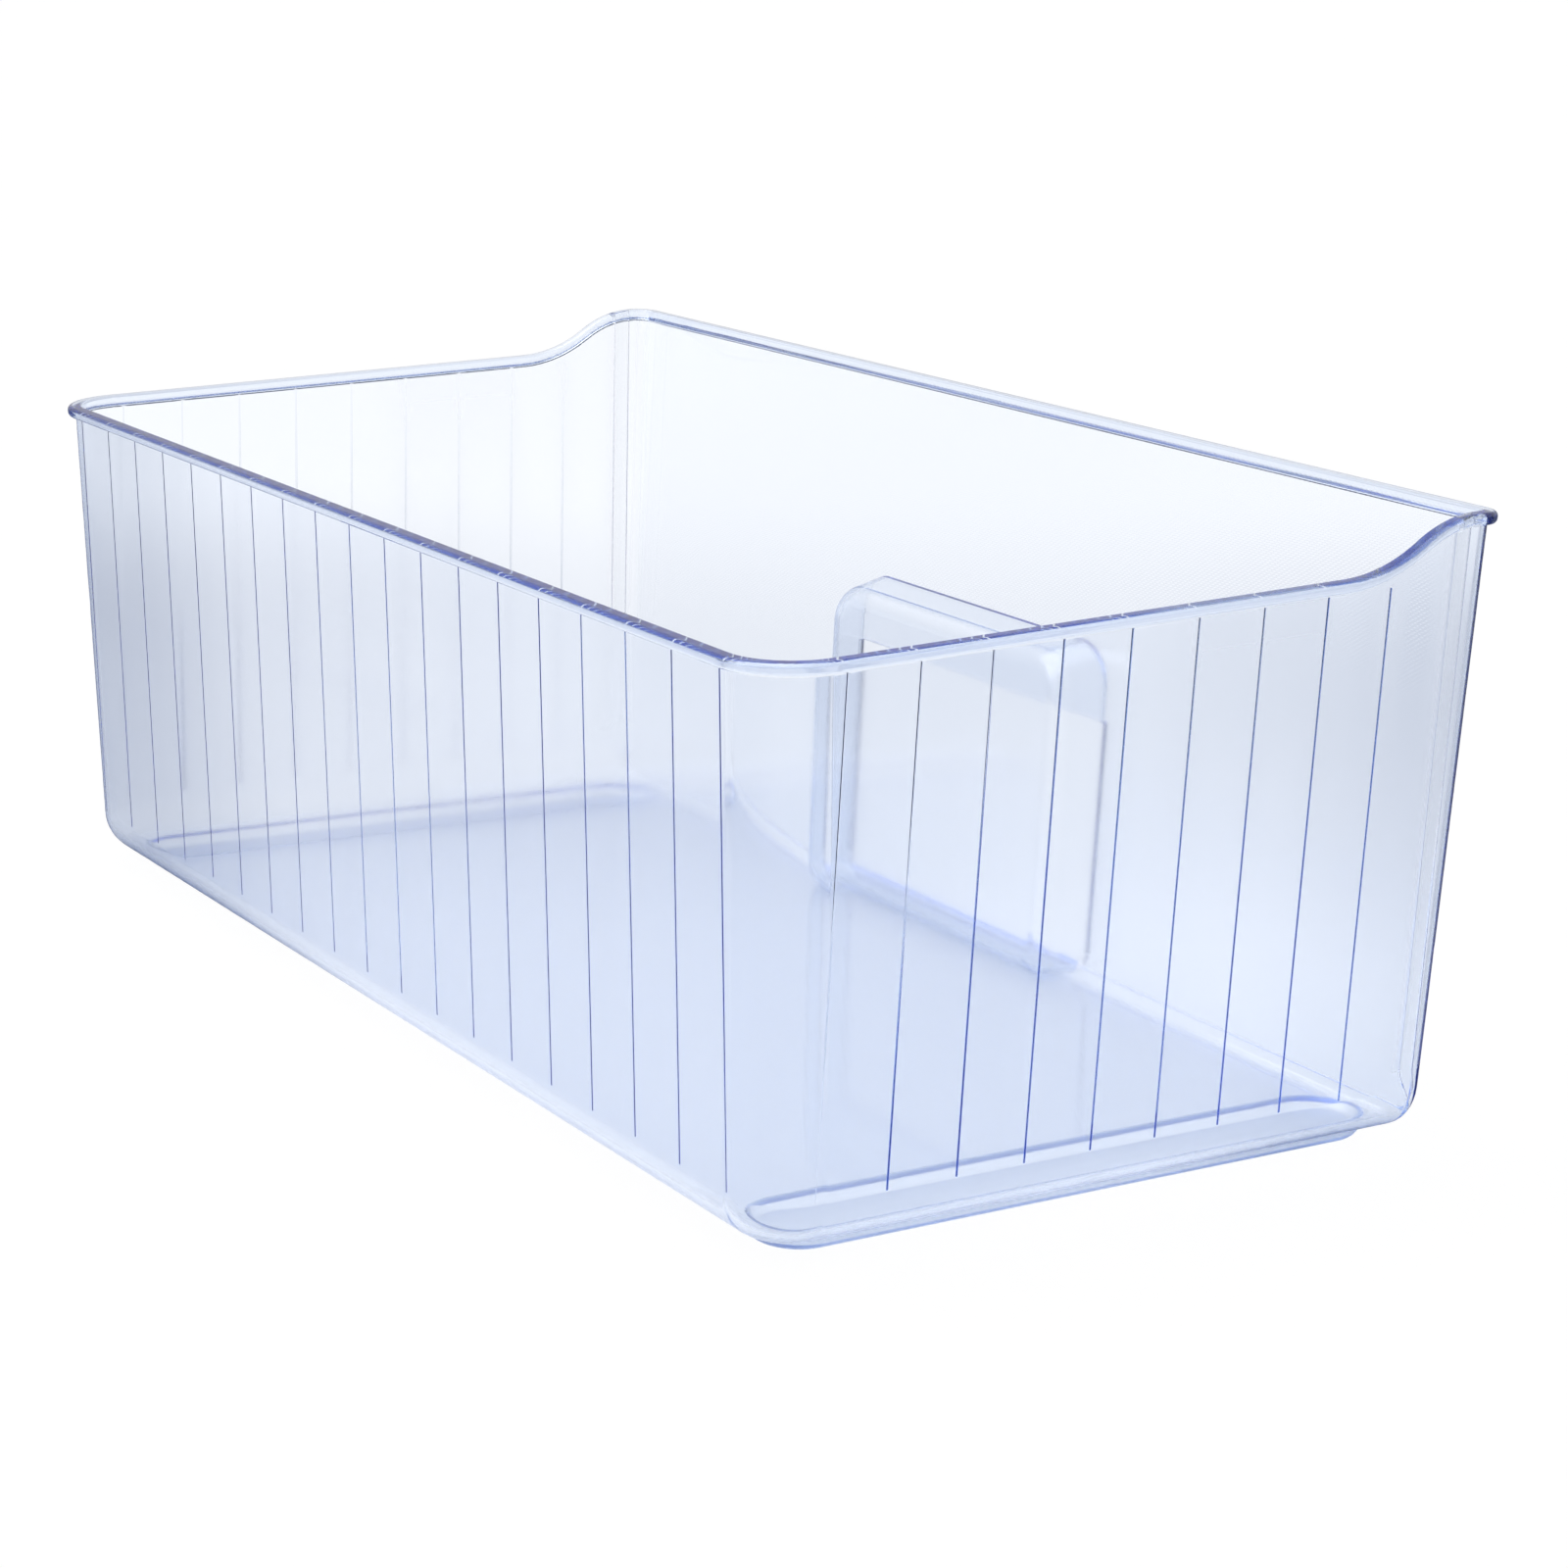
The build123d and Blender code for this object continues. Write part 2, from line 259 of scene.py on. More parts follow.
    def _groove_root(
        self,
        tree: bpy.types.NodeTree,
        groove: bpy.types.NodeSocket,
        backfacing: bpy.types.NodeSocket,
    ) -> bpy.types.Node:
        """Find the roots of the grooves, where they are seen from outside; shade is painted there.

        Args:
            tree: Node tree that receives the nodes.
            groove: The groove mark.
            backfacing: One where the skin is met from inside the resin.

        Returns:
            One on such a root and zero elsewhere.
        """
        outside = add(tree, "Math", {"operation": "SUBTRACT"}, i0=1.0, i1=backfacing)
        deep = add(tree, "Math", {"operation": "GREATER_THAN"}, i0=groove, i1=self.root_from)
        return add(tree, "Math", {"operation": "MULTIPLY"}, i0=deep, i1=outside)

    def _painted_shade_share(
        self, tree: bpy.types.NodeTree, root: bpy.types.Node, backfacing: bpy.types.NodeSocket
    ) -> bpy.types.Node:
        """Find where shade is painted: the grooves' roots, and the rim's edges seen through the
        resin.

        Args:
            tree: Node tree that receives the nodes.
            root: One on a groove's root.
            backfacing: One where the skin is met from inside the resin.

        Returns:
            One where the skin is dark and zero elsewhere.
        """
        mark = add(tree, "Attribute", {"attribute_name": "rim_shade_line"}).outputs["Fac"]
        on_painted_line = add(tree, "Math", {"operation": "GREATER_THAN"}, i0=mark, i1=self.painted_line_from)
        inside = add(tree, "Math", {"operation": "MULTIPLY"}, i0=on_painted_line, i1=backfacing)
        return add(tree, "Math", {"operation": "MAXIMUM"}, i0=root, i1=inside)

    def _passing_share(
        self, tree: bpy.types.NodeTree, groove: bpy.types.NodeSocket, root: bpy.types.Node
    ) -> bpy.types.Node:
        """Let lamps reach what stands behind the clear wall, and see through a groove's flanks.

        Args:
            tree: Node tree that receives the nodes.
            groove: The groove mark.
            root: One on a groove's root.

        Returns:
            The share of light that goes straight through.
        """
        cut = add(tree, "Math", {"operation": "GREATER_THAN"}, i0=groove, i1=self.flank_from)
        flank = add(tree, "Math", {"operation": "SUBTRACT"}, i0=cut, i1=root)
        unbent = add(tree, "Math", {"operation": "MULTIPLY"}, i0=flank, i1=self.flank_share)
        shadow = add(tree, "LightPath").outputs["Is Shadow Ray"]
        return add(tree, "Math", {"operation": "MAXIMUM"}, i0=shadow, i1=unbent)

    def _roughness(
        self, tree: bpy.types.NodeTree, where: bpy.types.NodeSocket
    ) -> bpy.types.Node:
        """Vary the gloss a little, as handling and cooling do, and dull the edges.

        Args:
            tree: Node tree that receives the nodes.
            where: Place on the piece.

        Returns:
            The roughness.
        """
        least, most = self.gloss_spread
        haze = add(tree, "TexNoise", Vector=where, Scale=1 / self.gloss_pitch, Detail=3.0)
        spread = add(
            tree,
            "MapRange",
            Value=haze.outputs["Fac"],
            To_Min=self.roughness * least,
            To_Max=self.roughness * most,
        )
        edge = add(tree, "Attribute", {"attribute_name": "soft_edge"}).outputs["Fac"]
        dull = add(tree, "Math", {"operation": "MULTIPLY"}, i0=edge, i1=self.edge_roughness)
        return add(tree, "Math", {"operation": "MAXIMUM"}, i0=spread, i1=dull)

    def _bump(self, tree: bpy.types.NodeTree, where: bpy.types.NodeSocket) -> bpy.types.Node:
        """Combine the resin's soft swells with the mould's grain.

        Args:
            tree: Node tree that receives the nodes.
            where: Place on the piece.

        Returns:
            The bent normal.
        """
        swell = add(tree, "TexNoise", Vector=where, Scale=1 / self.flow_pitch, Detail=1.0)
        height = swell.outputs["Fac"]
        flow = add(tree, "Bump", Height=height, Distance=self.flow_depth, Strength=1.0)
        if self.surface is Surface.POLISHED:
            return flow
        diamonds, area = self._diamonds(tree, where), self._grain_area(tree, where)
        grain = add(tree, "Math", {"operation": "MULTIPLY"}, i0=diamonds, i1=area)
        return add(
            tree, "Bump", Height=grain, Distance=self.grain_depth, Strength=1.0, Normal=flow
        )

    def _diamonds(self, tree: bpy.types.NodeTree, where: bpy.types.NodeSocket) -> bpy.types.Node:
        """Draw the diamond grain from two crossed waves.

        Args:
            tree: Node tree that receives the nodes.
            where: Place on the piece.

        Returns:
            The grain's height from 0 to 1.
        """
        axes = add(tree, "SeparateXYZ", Vector=where).outputs
        width, height = self.grain_pitch
        along = axes["Z" if self.is_upright else "Y"]
        u = add(tree, "Math", {"operation": "MULTIPLY"}, i0=axes["X"], i1=2 * pi / width)
        v = add(tree, "Math", {"operation": "MULTIPLY"}, i0=along, i1=2 * pi / height)
        rise = add(tree, "Math", {"operation": "ADD"}, i0=u, i1=v)
        fall = add(tree, "Math", {"operation": "SUBTRACT"}, i0=u, i1=v)
        rising = add(tree, "Math", {"operation": "SINE"}, i0=rise)
        falling = add(tree, "Math", {"operation": "SINE"}, i0=fall)
        crossed = add(tree, "Math", {"operation": "MULTIPLY"}, i0=rising, i1=falling)
        raised = add(tree, "Math", {"operation": "ABSOLUTE"}, i0=crossed)
        return add(tree, "Math", {"operation": "POWER"}, i0=raised, i1=self.grain_power)

    def _grain_area(self, tree: bpy.types.NodeTree, where: bpy.types.NodeSocket) -> bpy.types.Node:
        """Mask the grain to the face it was cut for.

        Args:
            tree: Node tree that receives the nodes.
            where: Place on the piece.

        Returns:
            One on the grained face and zero elsewhere.
        """
        normal = add(tree, "NewGeometry").outputs["Normal"]
        facing = add(tree, "SeparateXYZ", Vector=normal).outputs["Y" if self.is_upright else "Z"]
        square = add(tree, "Math", {"operation": "ABSOLUTE"}, i0=facing)
        flat = add(tree, "Math", {"operation": "GREATER_THAN"}, i0=square, i1=self.grain_facing)
        across = add(tree, "SeparateXYZ", Vector=where).outputs["X"]
        sideways = add(tree, "Math", {"operation": "ABSOLUTE"}, i0=across)
        inside = add(tree, "Math", {"operation": "LESS_THAN"}, i0=sideways, i1=self.grain_reach)
        return add(tree, "Math", {"operation": "MULTIPLY"}, i0=flat, i1=inside)


# ---------------------------------------------
# True normals
# ---------------------------------------------


@dataclass(frozen=True)
class Skin:
    """Depth under a rounded form's surface, and the outward normal, for many points.

    Attributes:
        depth: Millimetres inside the surface, one for each point.
        normal: Outward unit normals, one row for each point.
    """

    depth: np.ndarray
    normal: np.ndarray

    def rounded_with(self, other: "Skin", radius: float) -> "Skin":
        """Meet another face in a rolled edge.

        Args:
            other: The face that this one meets.
            radius: The edge's radius in millimetres.

        Returns:
            The two faces and the edge between them as one.
        """
        lean = np.einsum("ij,ij->i", self.normal, other.normal)
        spread = np.maximum(1 - lean**2, 1e-6)
        first, second = radius - self.depth, radius - other.depth
        first, second = (first - lean * second) / spread, (second - lean * first) / spread
        away = first[:, None] * self.normal + second[:, None] * other.normal
        reach = np.maximum(np.linalg.norm(away, axis=1), 1e-9)
        rolled = (first > 0) & (second > 0)
        nearer = self.depth <= other.depth
        depth = np.where(rolled, radius - reach, np.minimum(self.depth, other.depth))
        flat = np.where(nearer[:, None], self.normal, other.normal)
        return Skin(depth, np.where(rolled[:, None], away / reach[:, None], flat))


def flat_face(points: np.ndarray, on_face: tuple[float, float, float], outward: np.ndarray) -> Skin:
    """Describe one flat face.

    Args:
        points: Places in millimetres, one a row.
        on_face: A point on the face.
        outward: Unit normals, one for all or one a row.

    Returns:
        The face as seen from the points.
    """
    normals = np.broadcast_to(outward, points.shape)
    return Skin(-np.einsum("ij,ij->i", points - np.array(on_face), normals), normals)


@dataclass(frozen=True)
class TubForm:
    """The walls' drafted and rounded form, in millimetres.

    Attributes:
        half_length: Middle to a side wall's outside, at the front rim's height.
        back: Back wall's outside, at the back rim's height.
        front: Front wall's outside, at the front rim's height.
        height: Front rim's height.
        back_height: Back rim's height.
        underside: Height of the floor's underside.
        drafts: Degrees that the side, back and front walls lean out.
        upright_radius: Upright corners at the back.
        base_radius: Floor to the back and side walls.
        front_radius: Edges round the front wall.
        wall: Thickness of the walls.
        groove_depth: Depth of the upright grooves.
        levels: Depths at which the mouldings have a skin along the walls.
    """

    half_length: float = 230.9
    back: float = 117.9
    front: float = -117.9
    height: float = 186.5
    back_height: float = 162.4
    underside: float = 3.8
    drafts: tuple[float, float, float] = (1.7, 3.05, 1.15)
    upright_radius: float = 20.0
    base_radius: float = 15.0
    front_radius: float = 5.0
    wall: float = 2.2
    groove_depth: float = 0.42
    levels: tuple[float, ...] = (-2.6, 0.0, 1.1, 1.22, 2.2)

    def skin(self, points: np.ndarray) -> Skin:
        """Describe the form as seen from the points."""
        side_lean, back_lean, front_lean = (radians(v) for v in self.drafts)
        mirrored = points.copy()
        mirrored[:, 0] = np.abs(mirrored[:, 0])
        side_out = np.array((cos(side_lean), 0, -sin(side_lean)))
        back_out = np.array((0, cos(back_lean), -sin(back_lean)))
        front_out = np.array((0, -cos(front_lean), -sin(front_lean)))
        side = flat_face(mirrored, (self.half_length, 0, self.height), side_out)
        back = flat_face(mirrored, (0, self.back, self.back_height), back_out)
        base = flat_face(mirrored, (0, 0, self.underside), np.array((0, 0, -1)))
        front = flat_face(mirrored, (0, self.front, self.height), front_out)
        form = side.rounded_with(back, self.upright_radius)
        form = form.rounded_with(base, self.base_radius)
        form = form.rounded_with(front, self.front_radius)
        normal = form.normal.copy()
        normal[:, 0] *= np.where(points[:, 0] < 0, -1, 1)
        return Skin(form.depth, normal)


@dataclass(frozen=True)
class PocketForm:
    """The grip pocket's drafted and rounded form, in millimetres.

    Attributes:
        foot: Y of the front wall's outside at z = 0.
        lean: Degrees that the front wall leans out.
        half_width: Half of the pocket's width at the front face.
        top: Height of its top at the front face.
        bottom: Height of its underside.
        reach: Front face to the pocket's far face.
        drafts: Degrees of taper of its sides and top.
        top_radius: Upper corners.
        bottom_radius: Lower corners.
        face_radius: Edges round the far face.
        levels: Depths at which the pocket has a skin.
    """

    foot: float = -114.156
    lean: float = 1.15
    half_width: float = 68.7
    top: float = 116.0
    bottom: float = 6.15
    reach: float = 19.4
    drafts: tuple[float, float] = (10.0, 12.0)
    top_radius: float = 14.0
    bottom_radius: float = 9.0
    face_radius: float = 7.5
    levels: tuple[float, ...] = (0.0, 2.0)

    def skin(self, points: np.ndarray) -> Skin:
        """Describe the form as seen from the points."""
        tilt = radians(self.lean)
        inward = np.array((0, cos(tilt), sin(tilt)))
        upward = np.array((0, -sin(tilt), cos(tilt)))
        from_foot = points - np.array((0, self.foot, 0))
        local = np.stack((np.abs(points[:, 0]), from_foot @ upward, from_foot @ inward), axis=1)
        side_taper, top_taper = (radians(v) for v in self.drafts)
        side_out = np.array((cos(side_taper), 0, sin(side_taper)))
        top_out = np.array((0, cos(top_taper), sin(top_taper)))
        side = flat_face(local, (self.half_width, 0, 0), side_out)
        top = flat_face(local, (0, self.top / cos(tilt), 0), top_out)
        bottom = flat_face(local, (0, self.bottom / cos(tilt), 0), np.array((0, -1, 0)))
        face = flat_face(local, (0, 0, self.reach), np.array((0, 0, 1)))
        form = side.rounded_with(top, self.top_radius)
        form = form.rounded_with(bottom, self.bottom_radius)
        form = form.rounded_with(face, self.face_radius)
        signs = np.where(points[:, 0] < 0, -1, 1)
        normal = (
            form.normal[:, :1] * signs[:, None] * np.array((1, 0, 0))
            + form.normal[:, 1:2] * upward
            + form.normal[:, 2:] * inward
        )
        return Skin(form.depth, normal)


@dataclass(frozen=True)
class FootForm:
    """One side of a glide foot's pressed sheet, in millimetres.

    Attributes:
        lip: True for the edge where the floor turns down into the foot, False for the foot's own
            sheet.
        middle: X and Y of the foot's middle, on the side where X is positive.
        width: Width of its underside, before its edge is rounded.
        length: Length of its underside.
        flare: Degrees that its sides lean.
        wall: Thickness of the sheet.
        drop: Height of the floor's underside.
        bend: Radius inside the foot, where its sides meet its bottom.
        blend: Radius of the lip.
        levels: Depths at which the sheet has a skin.
    """

    lip: bool = False
    middle: tuple[float, float] = (200.177, -6.35)
    width: float = 24.8
    length: float = 203.3
    flare: float = 30.0
    wall: float = 2.2
    drop: float = 3.8
    bend: float = 2.0
    blend: float = 2.5
    levels: tuple[float, ...] = (0.0, 2.2)

    def skin(self, points: np.ndarray) -> Skin:
        """Describe the form as seen from the points."""
        lean = radians(self.flare)
        x, y = np.abs(points[:, 0]) - self.middle[0], points[:, 1] - self.middle[1]
        straight = (self.length - self.width) / 2
        beyond = y - np.clip(y, -straight, straight)
        reach = np.maximum(np.hypot(x, beyond), 1e-9)
        mirror = np.sign(points[:, 0])
        outward = np.stack((x / reach * mirror, beyond / reach, np.zeros(len(x))), axis=1)
        side = outward * cos(lean) - np.array((0, 0, sin(lean)))
        under = (self.width / 2 + points[:, 2] * tan(lean) - reach) * cos(lean)
        down = np.broadcast_to(np.array((0, 0, -1.0)), points.shape)
        if self.lip:
            flank = Skin(self.wall - under, -side)
            floor = Skin(self.drop + self.wall - points[:, 2], -down)
            return flank.rounded_with(floor, self.blend)
        sole = Skin(points[:, 2].copy(), down)
        return Skin(under, side).rounded_with(sole, self.bend + self.wall)


Form = TubForm | PocketForm | FootForm

# A face corner follows a skin within these millimetres, if its face agrees by this cosine.
SKIN_SLACK = 0.06
LEAST_AGREEMENT = 0.94


@dataclass(frozen=True)
class DetailMarks:
    """Marks what the mould left less polished, the cut grooves, and the rim's lines where shade is
    painted.

    Lengths are in millimetres. A "facing" is a part of the outward normal, from 0 to 1.

    Attributes:
        walls: The walls' form, which the bead stands out of and the grooves are cut into.
        foot: The feet's form.
        slack: How far off a skin a point may lie.
        rim_band: How far below the back rim's height the rim's marks reach.
        crest_facing: Least upward facing on the rim's crest.
        sole_band: How far below the floor's underside a foot's sole starts.
        lip_facing: Upward facing from which a point beside a foot is on the flat floor.
        corner_facing: Least facing both along and across the bin on a corner.
        corner_foot: Height from which the tall front corners are marked.
        pocket_area: Half width of the area round the pocket, and the Y that it lies in front of.
        rolled_facing: Facing along one axis from which a face by the pocket is flat.
        root_slack: How far off a groove's depth its root may lie.
        root_facing: Upward facing from which a point is not in a groove.
        mouth: How far inside the inner skin the rim's rounded mouth lies, and how far off that.
        mouth_facing: Least upward facing on the mouth.
        fillet: How far outside the walls the fillet under the bead lies, and how far off that.
        fillet_facing: Least downward facing on that fillet.
        blunt: Softness of the soles, the feet's lips and the tall corners.
        dull: Softness of the bead, the crest and the pocket's rolled edges.
        fillet_shade_line: Painted-shade mark of the fillet under the bead.
        mouth_shade_line: Painted-shade mark of the rim's mouth.
    """

    walls: TubForm = TubForm()
    foot: FootForm = FootForm()
    slack: float = 0.05
    rim_band: float = 10.0
    crest_facing: float = 0.3
    sole_band: float = 0.3
    lip_facing: float = 0.995
    corner_facing: float = 0.2
    corner_foot: float = 25.0
    pocket_area: tuple[float, float] = (75.0, -90.0)
    rolled_facing: float = 0.97
    root_slack: float = 0.03
    root_facing: float = 0.5
    mouth: tuple[float, float] = (0.26, 0.1)
    mouth_facing: float = 0.4
    fillet: tuple[float, float] = (0.15, 0.13)
    fillet_facing: float = 0.1
    blunt: float = 2.6
    dull: float = 1.0
    fillet_shade_line: float = 1.0
    mouth_shade_line: float = 0.7

    def mark(self, piece: bpy.types.Object) -> None:
        """Write "soft_edge", "groove" and "rim_shade_line" on a piece's points; the last marks the
        rim's painted shade.

        Args:
            piece: The piece to mark.
        """
        mesh = piece.data
        places, facing = np.empty(len(mesh.vertices) * 3), np.empty(len(mesh.vertices) * 3)
        mesh.vertices.foreach_get("co", places)
        mesh.vertices.foreach_get("normal", facing)
        places, facing = places.reshape(-1, 3) / MM, facing.reshape(-1, 3)
        depth = self.walls.skin(places).depth
        marks = {
            "soft_edge": self._softness(places, facing, depth),
            "groove": self._roots(facing, depth),
            "rim_shade_line": self._painted_shade_lines(places, facing, depth),
        }
        for name, values in marks.items():
            mark = mesh.attributes.new(name, "FLOAT", "POINT")
            mark.data.foreach_set("value", values.astype(np.float32))

    def _softness(self, places: np.ndarray, facing: np.ndarray, depth: np.ndarray) -> np.ndarray:
        """Find how much each point's finish is softened.

        Args:
            places: Points in millimetres, one a row.
            facing: Their outward normals.
            depth: Their depths under the walls' outside.

        Returns:
            The softness of each point, zero where it is polished.
        """
        walls, foot = self.walls, self.foot
        height, turn = places[:, 2], np.abs(facing)
        at_rim = height > walls.back_height - self.rim_band
        bead = depth < -self.slack
        crest = at_rim & (facing[:, 2] > self.crest_facing) & (depth < walls.wall / 2)
        sole = height < foot.drop - self.sole_band
        beside = np.abs(np.abs(places[:, 0]) - foot.middle[0]) < foot.width
        low = height < foot.drop + foot.wall + self.slack
        lip = beside & low & (turn[:, 2] < self.lip_facing)
        turned = np.minimum(turn[:, 0], turn[:, 1]) > self.corner_facing
        tall = (places[:, 1] < 0) & (height > self.corner_foot)
        corner = turned & tall & (depth < self.slack)
        half_width, ahead_of = self.pocket_area
        by_pocket = (np.abs(places[:, 0]) < half_width) & (places[:, 1] < ahead_of)
        rolled = by_pocket & (turn.max(axis=1) < self.rolled_facing)
        dulled = np.where(bead | crest | rolled, self.dull, 0.0)
        return np.where(sole | lip | corner, self.blunt, dulled)

    def _roots(self, facing: np.ndarray, depth: np.ndarray) -> np.ndarray:
        """Find the grooves' roots.

        Args:
            facing: Outward normals, one a row.
            depth: Depths under the walls' outside.

        Returns:
            True for each point in a root.
        """
        at_root = np.abs(depth - self.walls.groove_depth) < self.root_slack
        return at_root & (facing[:, 2] < self.root_facing)

    def _painted_shade_lines(self, places: np.ndarray, facing: np.ndarray, depth: np.ndarray) -> np.ndarray:
        """Find the rim's two lines of painted shade, at its mouth and under its bead.

        Args:
            places: Points in millimetres, one a row.
            facing: Their outward normals.
            depth: Their depths under the walls' outside.

        Returns:
            The line mark of each point, zero off the lines.
        """
        at_rim = places[:, 2] > self.walls.back_height - self.rim_band
        inset, inset_slack = self.mouth
        in_mouth = np.abs(depth - self.walls.wall + inset) < inset_slack
        mouth = at_rim & in_mouth & (facing[:, 2] > self.mouth_facing)
        outset, outset_slack = self.fillet
        on_fillet = np.abs(depth + outset) < outset_slack
        fillet = at_rim & on_fillet & (facing[:, 2] < -self.fillet_facing)
        return np.where(fillet, self.fillet_shade_line, np.where(mouth, self.mouth_shade_line, 0.0))


def true_normals(piece: bpy.types.Object, forms: list[Form]) -> int:
    """Give each face corner on a known rounded skin its true normal.

    Clear walls would otherwise bend light where their flat triangles meet.

    Args:
        piece: The piece to correct.
        forms: Forms whose skins the piece follows.

    Returns:
        How many face corners were corrected.
    """
    mesh = piece.data
    count = len(mesh.loops)
    corner_vertex = np.empty(count, np.int32)
    mesh.loops.foreach_get("vertex_index", corner_vertex)
    places = np.empty(len(mesh.vertices) * 3)
    mesh.vertices.foreach_get("co", places)
    places = places.reshape(-1, 3) / MM
    sizes = np.empty(len(mesh.polygons), np.int32)
    mesh.polygons.foreach_get("loop_total", sizes)
    facing = np.empty(len(mesh.polygons) * 3)
    mesh.polygons.foreach_get("normal", facing)
    facing = np.repeat(facing.reshape(-1, 3), sizes, axis=0)
    normals = np.array([corner.vector[:] for corner in mesh.corner_normals])
    corrected = np.zeros(count, bool)
    for form in forms:
        skin = form.skin(places)
        gaps = [np.abs(skin.depth - level) for level in form.levels]
        close = np.min(gaps, axis=0) < SKIN_SLACK
        along = skin.normal[corner_vertex]
        agree = np.einsum("ij,ij->i", facing, along)
        chosen = close[corner_vertex] & (np.abs(agree) > LEAST_AGREEMENT) & ~corrected
        normals[chosen] = along[chosen] * np.sign(agree[chosen])[:, None]
        corrected |= chosen
    mesh.normals_split_custom_set(normals.tolist())
    return int(corrected.sum())


# ---------------------------------------------
# Mouldings
# ---------------------------------------------


@dataclass
class Moulding:
    """One piece of the bin, shaped on its CAD solids.

    Attributes:
        name: Name of the dressed piece.
        slot: The record's material slot; not used.
        parts: CAD nodes that the piece is made of, each with its plastic; the later ones are
            welded to the first.
        forms: Rounded forms that its skins follow.
        crease: Degrees from which an edge stays crisp.
        merge: Metres within which corners are one corner.
        flat_weight: How much more a large face turns a shared normal than a small one does, with
            50 for no more.
    """

    name: str
    slot: str
    parts: dict[str, ClearStyrene]
    forms: list[Form]
    crease: float = 32.0
    merge: float = 0.002 * MM
    flat_weight: int = 100

    def build(self, nodes: dict[str, bpy.types.Object]) -> bpy.types.Object:
        """Make the piece as one closed skin with soft shading, and dress it.

        Args:
            nodes: The CAD nodes by name.

        Returns:
            The finished piece.
        """
        skins = [self._closed_skin(nodes[node], finish) for node, finish in self.parts.items()]
        piece = skins[0]
        for welded in skins[1:]:
            self._weld(piece, welded)
        piece.name = piece.data.name = self.name
        self._shade(piece)
        DetailMarks().mark(piece)
        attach(piece, BODY)
        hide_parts(*self.parts)
        LOG.info("%s: %d faces", piece.name, len(piece.data.polygons))
        return piece

    def _closed_skin(self, solid: bpy.types.Object, finish: ClearStyrene) -> bpy.types.Object:
        """Copy one solid, join its loose triangles and paint it.

        Args:
            solid: The CAD node's object.
            finish: Its plastic.

        Returns:
            The copy, closed.
        """
        make_active(solid)
        bpy.ops.object.duplicate()
        piece = bpy.context.object
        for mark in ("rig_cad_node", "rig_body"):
            del piece[mark]
        piece.parent = None
        make_active(piece)
        bpy.ops.object.mode_set(mode="EDIT")
        bpy.ops.mesh.select_all(action="SELECT")
        bpy.ops.mesh.remove_doubles(threshold=self.merge)
        bpy.ops.object.mode_set(mode="OBJECT")
        bpy.ops.mesh.customdata_custom_splitnormals_clear()
        piece.data.materials.clear()
        piece.data.materials.append(finish.make())
        return piece

    @staticmethod
    def _weld(piece: bpy.types.Object, welded: bpy.types.Object) -> None:
        """Weld one closed skin to another, with nothing left of the faces where they touch.

        Args:
            piece: The skin that grows.
            welded: The skin that becomes part of it.
        """
        make_active(piece)
        union = piece.modifiers.new("Weld", "BOOLEAN")
        union.operation, union.solver, union.object = "UNION", "EXACT", welded
        union.material_mode = "TRANSFER"
        bpy.ops.object.modifier_apply(modifier=union.name)
        bpy.data.objects.remove(welded)

    def _shade(self, piece: bpy.types.Object) -> None:
        """Round the shading over fillets and keep the flat walls flat."""
        make_active(piece)
        bpy.ops.object.shade_smooth_by_angle(angle=radians(self.crease))
        modifier = piece.modifiers.new("Flat walls", "WEIGHTED_NORMAL")
        modifier.keep_sharp = True
        modifier.weight = self.flat_weight
        bpy.ops.object.modifier_apply(modifier=modifier.name)
        LOG.info("%s: %d corners follow its forms", piece.name, true_normals(piece, self.forms))


# ---------------------------------------------
# Studio
# ---------------------------------------------


@dataclass
class Softbox:
    """One soft lamp.

    Attributes:
        name: Lamp name.
        place: Where it hangs, in metres.
        aim: What it points at.
        size: Width and height in metres.
        power: Watts.
    """

    name: str
    place: tuple[float, float, float]
    aim: tuple[float, float, float]
    size: tuple[float, float]
    power: float

    def build(self) -> bpy.types.Object:
        """Hang the lamp.

        Returns:
            The lamp's object.
        """
        lamp = bpy.data.lights.new(self.name, "AREA")
        lamp.shape = "RECTANGLE"
        lamp.size, lamp.size_y = self.size
        lamp.energy = self.power
        holder = bpy.data.objects.new(self.name, lamp)
        holder.location = self.place
        ahead = Vector(self.aim) - Vector(self.place)
        holder.rotation_euler = ahead.to_track_quat("-Z", "Y").to_euler()
        bpy.context.scene.collection.objects.link(holder)
        return holder


@dataclass
class Camera:
    """The camera, given by where it stands and how it is turned.

    Attributes:
        place: Where the lens is, in metres.
        heading: Degrees from +X towards +Y that it looks.
        dip: Degrees that it looks down.
        roll: Degrees that it is turned about its own axis.
        lens: Focal length in millimetres.
        sensor: Width of the sensor in millimetres.
    """

    place: tuple[float, float, float] = (-0.9286, 0.5674, 0.3472)
    heading: float = -33.13
    dip: float = 14.39
    roll: float = 2.23
    lens: float = 81.02
    sensor: float = 36.0

    def build(self) -> bpy.types.Object:
        """Set the camera up and make it the scene's.

        Returns:
            The camera's object.
        """
        data = bpy.data.cameras.new("camera")
        data.lens, data.sensor_width = self.lens, self.sensor
        camera = bpy.data.objects.new("camera", data)
        turn, dip, roll = (radians(v) for v in (self.heading, self.dip, self.roll))
        ahead = Vector((cos(dip) * cos(turn), cos(dip) * sin(turn), -sin(dip)))
        right = ahead.cross(Vector((0, 0, 1))).normalized()
        up = right.cross(ahead)
        right, up = right * cos(roll) + up * sin(roll), up * cos(roll) - right * sin(roll)
        axes = Matrix((right, up, -ahead)).transposed().to_4x4()
        camera.matrix_world = Matrix.Translation(self.place) @ axes
        bpy.context.scene.collection.objects.link(camera)
        bpy.context.scene.camera = camera
        return camera


